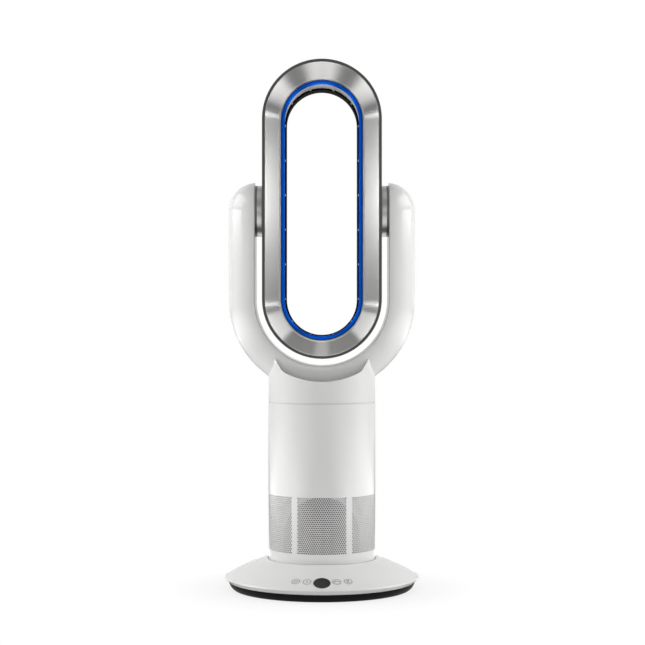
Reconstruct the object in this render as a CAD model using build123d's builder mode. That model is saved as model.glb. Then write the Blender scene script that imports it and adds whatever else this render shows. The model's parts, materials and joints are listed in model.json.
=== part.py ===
from build123d import *
import os
from math import asin, cos, degrees, pi, radians, sin, sqrt, tan

# Bladeless fan: an upright air loop tilts between the arms of a yoke, the yoke stands on a
# column with a perforated intake and a fan inside, and the column swings on a round base.
# Millimetres, +Z up, origin on the floor under the column's axis. The front faces -Y.

# ---------------------------------------------------------------- clearances
running_gap = 0.05        # radial gap of a turning or sliding fit
passing_gap = 0.3         # gap between faces that pass each other
seat_gap = 0.1            # gap round a piece fixed in its seat
cut_overrun = 1.0         # how far a hollow is carried past the face that it opens through

# ---------------------------------------------------------------- base
pan_bottom = 0.6          # underside of the black pan, held up by the feet
pan_floor = 2.2           # thickness of its floor
pan_wall = 2.2
pan_flare = 6.5           # how far its side reaches out beyond the flat floor
pan_curve = 14.0
base_edge_height = 10.8   # where the white cover meets the pan
foot_radius = 9.0
foot_inset = 20.5         # from the edge of the flat floor to the feet's centres
foot_height = 2.2
foot_count = 4
foot_angle = 45.0

dish_wall = 2.8
dish_rim_radius = 130.0
dish_shoulder_height = 18.6  # where the crown turns into the rolled rim
dish_lip_height = 41.5
rim_roll = 2.5            # the rim reaches this far out beyond the shoulder
rim_drop = 2.6
rim_radius = 3.2
rim_tuck = 5.5            # the cover's lower edge is this far in from the rim
recess_gap = 1.0          # round the column, in the recess that it turns in
lip_width = 3.0
lip_chamfer = 0.6
deck_top = 36.0
deck_thickness = 2.8
bush_radius = 20.0        # bore that carries the column's spindle
bush_wall = 6.0
bush_bottom = 27.5

post_inset = 10.5         # from the recess's side to the screw posts under the deck
post_radius = 4.5
post_angle = 30.0
screw_radius = 1.5
screw_head_radius = 3.0
screw_head_height = 1.6
base_screw_length = 14.0

ballast_clear = 5.5       # from the recess's side out to the ballast
ballast_inset = 10.0      # from the edge of the flat floor
ballast_height = 6.0

gland_radius = 3.6
gland_bore = 2.6
gland_length = 17.0
gland_height = 10.5
gland_inset = 0.6         # from the rim to its outer end

# ---------------------------------------------------------------- controls on the dish's front
control_inset = 12.5      # from the shoulder to the keys' centres
window_inset = 10.6       # from the shoulder to the window's centre
window_radius = 11.0
window_rise = 0.7
window_depth = 2.9
window_ring = 1.2         # width of the bright ring round the window
window_ring_rise = 0.4
window_ring_depth = 1.2
key_names = ("power", "mode", "swing", "timer")
key_places = (-33.2, -19.0, 18.8, 33.4)
key_radius = 5.7
key_gap = 0.2             # round a key, in the dish's wall
key_rise = 0.7
key_travel = 0.8
key_flange = 1.1
key_flange_height = 1.0
key_flange_gap = 0.6
key_stem_radius = 2.0
key_foot_gap = 0.4        # left above the switch when a key is right down
board_depth = 10.4        # top of the board under the dish's surface
board_thickness = 1.2
board_half_angle = 22.0
board_inner = 12.5        # its reach up the slope from under the controls, and down it
board_outer = 5.5
switch_size = 6.0
switch_height = 2.2
plunger_radius = 1.6
plunger_height = 0.8
module_width = 14.0
module_length = 15.0

# ---------------------------------------------------------------- swing drive
gear_module = 1.5
gear_teeth = 60           # of the full circle, of which a sector is cut
sector_side_teeth = 8     # teeth each side of the middle one
pinion_teeth = 12
tooth_addendum = 0.8      # in modules
tooth_dedendum = 1.15
tooth_root = 1.0          # run of a tooth into the gear's body
tooth_backlash = 0.22     # taken off each flank
pressure_angle = 20.0
gear_bottom = 21.0
gear_height = 6.0
gear_hub_wall = 6.0
pinion_height = 7.0
pinion_shaft_radius = 4.0
motor_radius = 17.5
motor_height = 15.0
clip_width = 3.0
clip_height = 1.2
clip_groove = 1.9

# ---------------------------------------------------------------- power board
supply_width = 64.0
supply_length = 34.0
supply_place = -52.0
supply_thickness = 1.6
supply_rise = 3.0
supply_post_radius = 3.0
post_margin = 5.0         # from the board's edges to its posts' centres
coil_width = 22.0
coil_length = 20.0
coil_height = 13.0
capacitor_radius = 6.0
capacitor_height = 14.0
capacitor_pitch = 14.4

# ---------------------------------------------------------------- column
column_radius = 71.5
column_wall = 2.4
seam_lift = 14.3          # from the splitter's plate to the seam with the yoke's collar
slide_height = 1.2
slide_width = 10.0
slide_inset = 7.5         # from the recess's side
slide_gap = 0.1
turntable_flange = 1.0
turntable_height = 3.6
turntable_margin = 0.4    # flange stays this far inside the column's outside
spindle_bore = 15.0
spindle_bottom = 18.6
housing_screw_inset = 9.5  # from the column's outside
housing_boss_radius = 4.0
housing_boss_height = 11.0
housing_screw_angles = (30.0, 150.0, 270.0)
housing_screw_length = 11.0

intake_bottom = 54.0
intake_height = 74.0
intake_panels = 6
intake_pillar = 6.0       # degrees left plain between panels
intake_rows = 3
intake_files = 3
intake_hole = 17.0        # across the corners

guide_radius = 52.0       # light guide dome behind the intake
guide_wall = 2.0
guide_rises = (25.0, 50.0, 75.0)  # places of the dome's facets, in degrees up it

# ---------------------------------------------------------------- fan unit
shroud_lift = 3.0         # above the intake
shroud_wall = 2.0
duct_gap = 8.1            # round the shroud's mouth and the diffuser, inside the column
shroud_step = 4.5         # corner of the mouth's facets, out from the eye and up from its bottom
mouth_height = 16.0       # from the shroud's bottom up to the eye
eye_radius = 41.0
impeller_height = 37.0    # from the eye up to the impeller's top
tip_gap = 0.6
hub_nose = 13.0
hub_rim = 47.0
hub_lift = 2.0            # hub's lower end above the eye
hub_wall = 2.4
hub_boss_radius = 9.0
blade_count = 9
blade_thickness = 1.5
blade_wrap = 48.0         # degrees from inlet to outlet
blade_stations = 3
blade_root = 1.2          # depth to which a blade runs into the hub
shaft_radius = 4.0
nut_radius = 7.0
nut_height = 6.0

diffuser_height = 52.0
diffuser_wall = 2.0
bucket_gap = 9.0          # round the motor
bucket_wall = 2.0
bucket_lift = 3.0         # above the diffuser's bottom
vane_count = 9
vane_thickness = 1.6
vane_lift = 8.0
vane_height = 34.0
fan_motor_radius = 31.0
fan_motor_lift = 7.0
fan_motor_height = 38.0
fan_motor_nose = 12.0
mount_count = 3
mount_width = 12.0
mount_height = 20.0
shaft_depth = 14.0        # how far the shaft reaches into the motor

splitter_plate = 3.0
splitter_spigot = 18.0
splitter_wall = 2.6
splitter_half_width = 26.0
splitter_height = 34.0
splitter_nose = 4.0
ridge_root = 1.0          # run of the ridge's ends into the plate

# ---------------------------------------------------------------- air loop
loop_radius = 78.5        # outside of the loop's round ends
loop_half_straight = 118.0
loop_half_depth = 51.0
side_wall = 2.4
front_rim = 3.3           # width of the dark rim round the bezel
front_rim_depth = 2.0
back_cover_depth = 6.0
back_wall = 2.0
back_step = 2.0           # the back cover's edge is this far outside the bezel's
bezel_step = 4.2          # from the liner out to the bezel
bezel_depth = 24.0
bezel_wall = 1.8
bezel_skirt = 5.0
throat_radius = 50.0      # light liner round the opening
liner_wall = 1.4
trim_overlap = 1.1        # the blue ring reaches this far in past the liner
liner_setback = 28.0      # from the loop's back to the liner's
liner_flange = 7.0
liner_flange_thickness = 1.4
liner_flare = 1.6
slot_width = 1.3          # between the liner and the nozzle
nozzle_lip = 0.9
nozzle_overlap = 2.0      # how far the nozzle reaches forward into the liner
nozzle_straight = 13.0
nozzle_wall = 2.0
rib_length = 8.0
rib_width = 2.2
rib_pitch = 46.8          # along the straights
rib_rows = 6
rib_angles = (18.0, 54.0)  # each side of the top and the bottom

# ---------------------------------------------------------------- tilt pivots
journal_radius = 26.0
journal_wall = 5.0
hub_width = 8.0           # from the journal out to the hub's edge
hub_thickness = 7.4
spigot_step = 1.0
bush_wall_thickness = 3.0
bush_flange = 2.5
bush_length = 12.0
washer_thickness = 1.0
journal_tail = 1.5        # beyond the clip's groove
tilt_clip_thickness = 0.9
tilt_clip_groove = 1.5

# ---------------------------------------------------------------- yoke
yoke_bend_height = loop_half_straight  # drop from the pivot to the middle of the bend
arm_width = 35.3          # across an arm, from its flat inner side
arm_radius = 38.0         # half-round section of arms and bend
bend_lift = 11.3          # underside of the bend above the column's seam
yoke_wall = 3.0
cover_proud = 0.8         # the inner cover stands this far out of the arms' face
cover_thickness = 2.8
cover_gap = 0.2
scoop_depth = 18.8        # floor of the scoop above the collar, beyond the arms' flat side
scoop_side_angle = 60.0
scoop_cusp_inset = 8.9    # from the collar's side to where the scoop's side leaves it
scoop_cusp_depth = 13.2   # of that place below the bend's inner face
scoop_fillet = 12.0
collar_depth = 3.7        # of the collar's highest place below the same face
yoke_post_radius = 3.6
yoke_post_place = 15.0
yoke_post_shares = (0.6, 0.95)  # places on the front and the rear shell, of the way to the bend
yoke_screw_length = 15.0

os.makedirs("parts", exist_ok=True)

# ---------------------------------------------------------------- heights and radii that follow
front = -90.0             # compass angle of the front
back = 90.0
dish_shoulder_radius = dish_rim_radius - rim_roll
dish_rim_height = dish_shoulder_height - rim_drop
base_edge_radius = dish_rim_radius - rim_tuck
pan_foot_radius = base_edge_radius - pan_flare
foot_circle_radius = pan_foot_radius - foot_inset
ballast_outer = pan_foot_radius - ballast_inset
control_circle_radius = dish_shoulder_radius - control_inset
window_circle_radius = dish_shoulder_radius - window_inset
gland_end = dish_rim_radius - gland_inset
recess_radius = column_radius + recess_gap
ballast_inner = recess_radius + ballast_clear
slide_outer = recess_radius - slide_inset
slide_inner = slide_outer - slide_width
housing_screw_radius = column_radius - housing_screw_inset
dish_lip_radius = recess_radius + lip_width
post_circle_radius = recess_radius - post_inset
pan_top = pan_bottom + pan_floor
deck_bottom = deck_top - deck_thickness
turntable_bottom = deck_top + slide_height + slide_gap
housing_bottom = turntable_bottom + turntable_flange
turntable_top = turntable_bottom + turntable_height
column_bore = column_radius - column_wall
diffuser_radius = column_bore - duct_gap
shroud_mouth = diffuser_radius
spindle_radius = bush_radius - running_gap
gear_radius = gear_module * gear_teeth / 2
pinion_radius = gear_module * pinion_teeth / 2
drive_place = gear_radius + pinion_radius

intake_top = intake_bottom + intake_height
shroud_bottom = intake_top + shroud_lift
eye_height = shroud_bottom + mouth_height
hub_bottom = eye_height + hub_lift
impeller_top = eye_height + impeller_height
diffuser_bottom = impeller_top
diffuser_top = diffuser_bottom + diffuser_height
bucket_bottom = diffuser_bottom + bucket_lift
vane_bottom = diffuser_bottom + vane_lift
fan_motor_bottom = diffuser_bottom + fan_motor_lift
bucket_radius = fan_motor_radius + bucket_gap
column_seam = diffuser_top + seam_lift

hub_face = loop_radius + hub_thickness
bush_face = hub_face + passing_gap
cover_face = bush_face + bush_flange
arm_face = cover_face + cover_proud
arm_outside = arm_face + arm_width
arm_centre = arm_outside - arm_radius
hub_radius = journal_radius + hub_width
journal_bore = journal_radius - journal_wall
spigot_radius = journal_radius - spigot_step
bush_sleeve_radius = journal_radius + bush_wall_thickness
bush_end = cover_face + bush_length
tilt_clip_place = bush_end + slide_gap + washer_thickness
journal_end = tilt_clip_place + journal_tail

bend_centre = column_seam + bend_lift + arm_outside
pivot_height = bend_centre + yoke_bend_height
yoke_post_drops = [share * yoke_bend_height for share in yoke_post_shares]
scoop_radius = arm_face + scoop_depth
scoop_cusp = column_radius - scoop_cusp_inset
scoop_cusp_height = bend_centre - sqrt(arm_face**2 - scoop_cusp**2) - scoop_cusp_depth
collar_top = bend_centre - sqrt(arm_face**2 - column_radius**2) - collar_depth

bezel_front_radius = loop_radius - front_rim
bezel_back = bezel_depth - loop_half_depth
bezel_inner = throat_radius + bezel_step
back_inner = bezel_inner + back_step
back_joint = loop_half_depth - back_cover_depth
liner_front = bezel_back + bezel_skirt
liner_back = loop_half_depth - liner_setback
liner_flange_radius = throat_radius + liner_flange
nozzle_radius = throat_radius - slot_width - nozzle_lip
nozzle_front = liner_back - nozzle_overlap

# the dish's gentle crown is part of a sphere through its lip and its shoulder
crown_centre = (
    dish_shoulder_radius**2 + dish_shoulder_height**2 - dish_lip_radius**2 - dish_lip_height**2
) / (2 * (dish_shoulder_height - dish_lip_height))
dish_crown_radius = sqrt(dish_lip_radius**2 + (dish_lip_height - crown_centre) ** 2)


def on_dish(radius, depth=0.0):
    """Point of the dish's section at a distance from the axis, some depth under its surface."""
    return (radius, crown_centre + sqrt((dish_crown_radius - depth) ** 2 - radius**2))


def dish_plane(circle_radius, place=0.0):
    """Workplane on the dish's front, at some distance from the axis: x runs across, z is the normal."""
    turn = front + degrees(asin(place / circle_radius))
    radius, height = on_dish(circle_radius)
    outward = Vector(1, 0, 0).rotate(Axis.Z, turn)
    spot = outward * radius + Vector(0, 0, height)
    return Plane(origin=spot, x_dir=outward.rotate(Axis.Z, 90), z_dir=spot - Vector(0, 0, crown_centre))


def upright_plane(turn):
    """Upright workplane through the axis: local x points to a compass angle, local y is up."""
    along = Vector(1, 0, 0).rotate(Axis.Z, turn)
    return Plane(origin=(0, 0, 0), x_dir=along, z_dir=along.cross(Vector(0, 0, 1)))


def screw(length, head_radius=screw_head_radius):
    """Countersunk-flush pan screw: head from 0 up by its height, shank above it."""
    with BuildPart() as body:
        Cylinder(head_radius, screw_head_height, align=(Align.CENTER, Align.CENTER, Align.MIN))
        Cylinder(screw_radius, length, align=(Align.CENTER, Align.CENTER, Align.MIN))
    return body.part


def ring(outer, inner, bottom, height):
    """Plain ring about the column's axis, added to the piece being built."""
    with BuildSketch(Plane.XY.offset(bottom)) as band:
        Circle(outer)
        Circle(inner, mode=Mode.SUBTRACT)
    extrude(band.sketch, amount=height)


# ================================================================ base
post_angles = (post_angle, 180 - post_angle, 180 + post_angle, -post_angle)
post_places = [
    (post_circle_radius * cos(radians(turn)), post_circle_radius * sin(radians(turn))) for turn in post_angles
]

# Black pan: flat floor, side curving up to the white cover's edge
with BuildPart() as base_pan:
    with BuildSketch(Plane.XZ):
        with BuildLine():
            side_outer = base_edge_radius - seat_gap
            Line((0, pan_bottom), (pan_foot_radius, pan_bottom))
            RadiusArc((pan_foot_radius, pan_bottom), (side_outer, base_edge_height), -pan_curve)
            Line((side_outer, base_edge_height), (side_outer - pan_wall, base_edge_height))
            Line((side_outer - pan_wall, base_edge_height), (pan_foot_radius, pan_top))
            Line((pan_foot_radius, pan_top), (0, pan_top))
            Line((0, pan_top), (0, pan_bottom))
        make_face()
    revolve(axis=Axis.Z)
    # recesses for the feet
    with BuildSketch(Plane.XY.offset(pan_bottom)):
        with PolarLocations(foot_circle_radius, foot_count, start_angle=foot_angle):
            Circle(foot_radius + seat_gap)
    extrude(amount=foot_height - pan_bottom, mode=Mode.SUBTRACT)
    # posts of the power board
    with BuildSketch(Plane.XY.offset(pan_top)):
        with Locations((0, supply_place)):
            with GridLocations(supply_width - 2 * post_margin, supply_length - 2 * post_margin, 2, 2):
                Circle(supply_post_radius)
    extrude(amount=supply_rise)
    # screw holes, with the heads let into the underside
    with Locations(*[(x, y, pan_bottom) for x, y in post_places]):
        Cylinder(screw_radius + seat_gap, pan_floor, mode=Mode.SUBTRACT,
                 align=(Align.CENTER, Align.CENTER, Align.MIN))
        Cylinder(screw_head_radius + seat_gap, screw_head_height, mode=Mode.SUBTRACT,
                 align=(Align.CENTER, Align.CENTER, Align.MIN))
    # lower half of the cord inlet
    with BuildSketch(Plane.XZ):
        with Locations((0, gland_height)):
            Circle(gland_radius + seat_gap)
    extrude(amount=-gland_end, mode=Mode.SUBTRACT)
base_pan.part.label = "base_pan"
export_step(base_pan.part, "parts/base_pan.step")

# Rubber feet that the fan rests on
with BuildPart() as rubber_feet:
    with BuildSketch():
        with PolarLocations(foot_circle_radius, foot_count, start_angle=foot_angle):
            Circle(foot_radius)
    extrude(amount=foot_height)
rubber_feet.part.label = "rubber_feet"
export_step(rubber_feet.part, "parts/rubber_feet.step")

# Pan screws, driven up into the deck's posts
with BuildPart() as base_screws:
    with Locations(*[(x, y, pan_bottom) for x, y in post_places]):
        add(screw(base_screw_length))
base_screws.part.label = "base_screws"
export_step(base_screws.part, "parts/base_screws.step")

# White cover: crowned dish, rolled rim, recess and deck for the column, and the spindle's bush
key_planes = [dish_plane(control_circle_radius, place) for place in key_places]
window_plane = dish_plane(window_circle_radius)
with BuildPart() as base_cover:
    with BuildSketch(Plane.XZ):
        with BuildLine():
            recess_back = recess_radius + dish_wall
            edge_inner = base_edge_radius - dish_wall
            inner_start = on_dish(recess_back, dish_wall)
            inner_end = on_dish(dish_shoulder_radius - dish_wall, dish_wall)
            lip = on_dish(dish_lip_radius)
            shoulder = on_dish(dish_shoulder_radius)
            rim = (dish_rim_radius, dish_rim_height)
            Polyline(
                (bush_radius, deck_top),
                (recess_radius, deck_top),
                (recess_radius, lip[1] - lip_chamfer),
                lip,
            )
            RadiusArc(lip, shoulder, dish_crown_radius)
            RadiusArc(shoulder, rim, rim_radius)
            Line(rim, (base_edge_radius, base_edge_height))
            Line((base_edge_radius, base_edge_height), (edge_inner, base_edge_height))
            Line((edge_inner, base_edge_height), inner_end)
            RadiusArc(inner_end, inner_start, dish_wall - dish_crown_radius)
            Polyline(
                inner_start,
                (recess_back, deck_bottom),
                (bush_radius + bush_wall, deck_bottom),
                (bush_radius + bush_wall, bush_bottom),
                (bush_radius, bush_bottom),
                (bush_radius, deck_top),
            )
        make_face()
    revolve(axis=Axis.Z)
    # posts for the screws from the pan
    with BuildSketch(Plane.XY.offset(pan_top)):
        with Locations(*post_places):
            Circle(post_radius)
            Circle(screw_radius, mode=Mode.SUBTRACT)
    extrude(amount=deck_bottom - pan_top)
    # openings for the window and the keys
    with BuildSketch(window_plane.offset(dish_wall)):
        Circle(window_radius + seat_gap)
    extrude(amount=-3 * dish_wall, mode=Mode.SUBTRACT)
    with BuildSketch(window_plane.offset(dish_wall)):
        Circle(window_radius + window_ring + seat_gap)
    extrude(amount=-dish_wall - window_ring_depth, mode=Mode.SUBTRACT)
    for plane in key_planes:
        with BuildSketch(plane.offset(dish_wall)):
            Circle(key_radius + key_gap)
        extrude(amount=-3 * dish_wall, mode=Mode.SUBTRACT)
    # upper half of the cord inlet
    with BuildSketch(Plane.XZ):
        with Locations((0, gland_height)):
            Circle(gland_radius + seat_gap)
    extrude(amount=-dish_rim_radius, mode=Mode.SUBTRACT)
base_cover.part.label = "base_cover"
export_step(base_cover.part, "parts/base_cover.step")

# Cord inlet at the back, caught between pan and cover
with BuildPart() as cord_gland:
    with BuildSketch(Plane(origin=(0, gland_end, gland_height), z_dir=(0, -1, 0))):
        Circle(gland_radius)
    extrude(amount=gland_length)
    with BuildSketch(Plane(origin=(0, gland_end, gland_height), z_dir=(0, -1, 0))):
        Circle(gland_bore)
    extrude(amount=gland_length, mode=Mode.SUBTRACT)
cord_gland.part.label = "cord_gland"
export_step(cord_gland.part, "parts/cord_gland.step")

# Steel ring that keeps the tall fan upright
with BuildPart() as ballast_ring:
    ring(ballast_outer, ballast_inner, pan_top, ballast_height)
ballast_ring.part.label = "ballast_ring"
export_step(ballast_ring.part, "parts/ballast_ring.step")

# Power supply board with its coil and capacitors, screwed to the pan's posts
with BuildPart() as power_board:
    board_bottom = pan_top + supply_rise
    with BuildSketch(Plane.XY.offset(board_bottom)):
        with Locations((0, supply_place)):
            Rectangle(supply_width, supply_length)
    extrude(amount=supply_thickness)
    board_top = board_bottom + supply_thickness
    with BuildSketch(Plane.XY.offset(board_top)):
        with Locations((-supply_width / 4, supply_place)):
            Rectangle(coil_width, coil_length)
    extrude(amount=coil_height)
    with BuildSketch(Plane.XY.offset(board_top)):
        with Locations((supply_width / 4, supply_place)):
            with GridLocations(capacitor_pitch, 0, 2, 1):
                Circle(capacitor_radius)
    extrude(amount=capacitor_height)
power_board.part.label = "power_board"
export_step(power_board.part, "parts/power_board.step")

# ---------------------------------------------------------------- controls
# Curved control board, carried parallel to the dish under the keys
board_middle = -window_plane.offset(-board_depth).origin.Y
with BuildPart() as control_board:
    with BuildSketch(upright_plane(front - board_half_angle)):
        with BuildLine():
            Polyline(
                on_dish(board_middle - board_inner, board_depth),
                on_dish(board_middle + board_outer, board_depth),
                on_dish(board_middle + board_outer, board_depth + board_thickness),
                on_dish(board_middle - board_inner, board_depth + board_thickness),
                close=True,
            )
        make_face()
    revolve(axis=Axis.Z, revolution_arc=2 * board_half_angle)
control_board.part.label = "control_board"
export_step(control_board.part, "parts/control_board.step")

# Tactile switches, one under each key
with BuildPart() as tact_switches:
    for plane in key_planes:
        with BuildSketch(plane.offset(-board_depth)):
            Rectangle(switch_size, switch_size)
        extrude(amount=switch_height)
        with BuildSketch(plane.offset(-board_depth + switch_height)):
            Circle(plunger_radius)
        extrude(amount=plunger_height)
tact_switches.part.label = "tact_switches"
export_step(tact_switches.part, "parts/tact_switches.step")

# Display module standing on the board behind the window
with BuildPart() as display_module:
    with BuildSketch(window_plane.offset(-board_depth)):
        Rectangle(module_width, module_length)
    extrude(amount=board_depth - window_depth + window_rise - passing_gap)
display_module.part.label = "display_module"
export_step(display_module.part, "parts/display_module.step")

# Dark window with a bevelled edge, and the bright ring let into the dish round it
with BuildPart() as display_window:
    with BuildSketch(window_plane.offset(window_rise)):
        Circle(window_radius)
    extrude(amount=-window_depth)
    window_top = display_window.faces().sort_by(Axis(window_plane.origin, window_plane.z_dir))[-1]
    chamfer(window_top.edges(), window_rise / 2)
display_window.part.label = "display_window"
export_step(display_window.part, "parts/display_window.step")

with BuildPart() as display_ring:
    with BuildSketch(window_plane.offset(window_ring_rise)):
        Circle(window_radius + window_ring)
        Circle(window_radius + seat_gap, mode=Mode.SUBTRACT)
    extrude(amount=-window_ring_depth - window_ring_rise)
display_ring.part.label = "display_ring"
export_step(display_ring.part, "parts/display_ring.step")

# Four push keys: cap through the dish, flange behind it, stem down to the switch
key_foot = board_depth - switch_height - plunger_height - key_foot_gap
for key_name, plane in zip(key_names, key_planes):
    with BuildPart() as key:
        flange_top = dish_wall + key_flange_gap
        with BuildSketch(plane.offset(key_rise)):
            Circle(key_radius)
        extrude(amount=-key_rise - flange_top)
        chamfer(key.faces().sort_by(Axis(plane.origin, plane.z_dir))[-1].edges(), key_rise / 2)
        with BuildSketch(plane.offset(-flange_top)):
            Circle(key_radius + key_flange)
        extrude(amount=-key_flange_height)
        with BuildSketch(plane.offset(-flange_top - key_flange_height)):
            Circle(key_stem_radius)
        extrude(amount=-(key_foot - key_travel - flange_top - key_flange_height))
    key.part.label = f"key_{key_name}"
    export_step(key.part, f"parts/key_{key_name}.step")


# ---------------------------------------------------------------- swing drive
def tooth(pitch_radius):
    """One straight-flanked tooth pointing along +X, its root run into the gear's body."""
    slope = tan(radians(pressure_angle))
    addendum = tooth_addendum * gear_module
    dedendum = tooth_dedendum * gear_module
    half = pi * gear_module / 4 - tooth_backlash
    with BuildSketch() as profile:
        with BuildLine():
            Polyline(
                (pitch_radius - dedendum - tooth_root, half + dedendum * slope),
                (pitch_radius - dedendum, half + dedendum * slope),
                (pitch_radius + addendum, half - addendum * slope),
                (pitch_radius + addendum, -half + addendum * slope),
                (pitch_radius - dedendum, -half - dedendum * slope),
                (pitch_radius - dedendum - tooth_root, -half - dedendum * slope),
                close=True,
            )
        make_face()
    return profile.sketch


gear_tooth = tooth(gear_radius)
pinion_tooth = tooth(pinion_radius)
gear_step = 360 / gear_teeth
sector_half = sector_side_teeth * gear_step + gear_step / 2

with BuildPart() as swing_motor:
    with BuildSketch(Plane.XY.offset(pan_top)):
        with Locations((0, drive_place)):
            Circle(motor_radius)
    extrude(amount=motor_height)
swing_motor.part.label = "swing_motor"
export_step(swing_motor.part, "parts/swing_motor.step")

# Pinion on the motor's shaft; a gap between two teeth faces the sector's middle tooth
with BuildPart() as swing_pinion:
    with BuildSketch(Plane.XY.offset(gear_bottom - (pinion_height - gear_height) / 2)):
        with Locations((0, drive_place)):
            Circle(pinion_radius - tooth_dedendum * gear_module)
            with PolarLocations(0, pinion_teeth, start_angle=front + 180 / pinion_teeth):
                add(pinion_tooth)
    extrude(amount=pinion_height)
    with BuildSketch(Plane.XY.offset(pan_top + motor_height + passing_gap)):
        with Locations((0, drive_place)):
            Circle(pinion_shaft_radius)
    extrude(amount=gear_bottom - pan_top - motor_height)
swing_pinion.part.label = "swing_pinion"
export_step(swing_pinion.part, "parts/swing_pinion.step")

# Toothed sector keyed to the spindle under the deck
with BuildPart() as swing_gear:
    with BuildSketch(Plane.XY.offset(gear_bottom)):
        hub_outer = spindle_radius + gear_hub_wall
        root = gear_radius - tooth_dedendum * gear_module
        with BuildLine():
            edge = (cos(radians(back - sector_half)), sin(radians(back - sector_half)))
            Line((0, 0), (root * edge[0], root * edge[1]))
            CenterArc((0, 0), root, back - sector_half, 2 * sector_half)
            Line((-root * edge[0], root * edge[1]), (0, 0))
        make_face()
        Circle(hub_outer)
        with PolarLocations(0, 2 * sector_side_teeth + 1, start_angle=back - sector_half + gear_step / 2,
                            angular_range=2 * sector_side_teeth * gear_step, endpoint=True):
            add(gear_tooth)
        Circle(spindle_radius, mode=Mode.SUBTRACT)
    extrude(amount=gear_height)
swing_gear.part.label = "swing_gear"
export_step(swing_gear.part, "parts/swing_gear.step")

with BuildPart() as spindle_clip:
    ring(spindle_radius + clip_width, spindle_radius - clip_groove, gear_bottom - clip_height, clip_height)
spindle_clip.part.label = "spindle_clip"
export_step(spindle_clip.part, "parts/spindle_clip.step")

with BuildPart() as slide_ring:
    ring(slide_outer, slide_inner, deck_top, slide_height)
slide_ring.part.label = "slide_ring"
export_step(slide_ring.part, "parts/slide_ring.step")

# ================================================================ column
boss_places = [
    (housing_screw_radius * cos(radians(turn)), housing_screw_radius * sin(radians(turn)))
    for turn in housing_screw_angles
]

# Turntable: flange on the slide ring, plug inside the column, hollow spindle through the deck
with BuildPart() as turntable:
    with BuildSketch(Plane.XZ):
        with BuildLine():
            Polyline(
                (spindle_bore, spindle_bottom),
                (spindle_radius, spindle_bottom),
                (spindle_radius, turntable_bottom),
                (column_radius - turntable_margin, turntable_bottom),
                (column_radius - turntable_margin, housing_bottom),
                (column_bore - seat_gap, housing_bottom),
                (column_bore - seat_gap, turntable_top),
                (spindle_bore, turntable_top),
                close=True,
            )
        make_face()
    revolve(axis=Axis.Z)
    # groove for the clip
    with BuildSketch(Plane.XY.offset(gear_bottom - clip_height)):
        Circle(spindle_radius + clip_width)
        Circle(spindle_radius - clip_groove, mode=Mode.SUBTRACT)
    extrude(amount=clip_height, mode=Mode.SUBTRACT)
    # screws up into the column's bosses
    with Locations(*[(x, y, turntable_bottom) for x, y in boss_places]):
        Cylinder(screw_radius + seat_gap, turntable_height, mode=Mode.SUBTRACT,
                 align=(Align.CENTER, Align.CENTER, Align.MIN))
        Cylinder(screw_head_radius + seat_gap, screw_head_height, mode=Mode.SUBTRACT,
                 align=(Align.CENTER, Align.CENTER, Align.MIN))
turntable.part.label = "turntable"
export_step(turntable.part, "parts/turntable.step")

# Screws from the turntable up into the column
with BuildPart() as column_screws:
    with Locations(*[(x, y, turntable_bottom) for x, y in boss_places]):
        add(screw(housing_screw_length))
column_screws.part.label = "column_screws"
export_step(column_screws.part, "parts/column_screws.step")

# Column: plain tube whose lower band is perforated in six panels
panel_angle = 360 / intake_panels
hole_row = (intake_top - intake_bottom) / intake_rows
hole_turn = (panel_angle - intake_pillar) / intake_files
with BuildPart() as column_housing:
    ring(column_radius, column_bore, housing_bottom, column_seam - housing_bottom)
    with BuildSketch(Plane.XY.offset(turntable_top)) as bosses:
        with Locations(*boss_places):
            Circle(housing_boss_radius)
        for x, y in boss_places:
            with Locations(Vector(x, y, 0) * (column_bore / housing_screw_radius)):
                Circle(housing_boss_radius)
        Circle(column_radius - column_wall / 2, mode=Mode.INTERSECT)
        with Locations(*boss_places):
            Circle(screw_radius, mode=Mode.SUBTRACT)
    extrude(amount=housing_boss_height)
    # holes in upright files; every other file has one hole less and stands half a row higher
    middle_file = (intake_files - 1) / 2
    for odd in (0, 1):
        facing = [
            upright_plane(panel * panel_angle + (file - middle_file) * hole_turn)
            .offset(column_bore - column_wall)
            for panel in range(intake_panels)
            for file in range(odd, intake_files, 2)
        ]
        with BuildSketch(*facing):
            with Locations((0, (intake_bottom + intake_top) / 2)):
                with GridLocations(0, hole_row, 1, intake_rows - odd):
                    RegularPolygon(intake_hole / 2, 6)
        extrude(amount=3 * column_wall, mode=Mode.SUBTRACT)
column_housing.part.label = "column_housing"
export_step(column_housing.part, "parts/column_housing.step")

# Light guide dome that turns the air up into the fan
with BuildPart() as inlet_cone:
    with BuildSketch(Plane.XZ):
        with BuildLine():
            hollow = guide_radius - guide_wall
            guide_top = intake_bottom + guide_radius
            steps = [(cos(radians(rise)), sin(radians(rise))) for rise in guide_rises]
            Polyline(
                (0, guide_top - guide_wall),
                (0, guide_top),
                *[(guide_radius * x, intake_bottom + guide_radius * y) for x, y in reversed(steps)],
                (guide_radius, intake_bottom),
                (guide_radius, turntable_top),
                (hollow, turntable_top),
                (hollow, intake_bottom),
                *[(hollow * x, intake_bottom + hollow * y) for x, y in steps],
                close=True,
            )
        make_face()
    revolve(axis=Axis.Z)
inlet_cone.part.label = "inlet_cone"
export_step(inlet_cone.part, "parts/inlet_cone.step")

# ================================================================ fan unit
eye_outer = eye_radius + shroud_wall
outlet_bore = diffuser_radius - diffuser_wall

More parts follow.
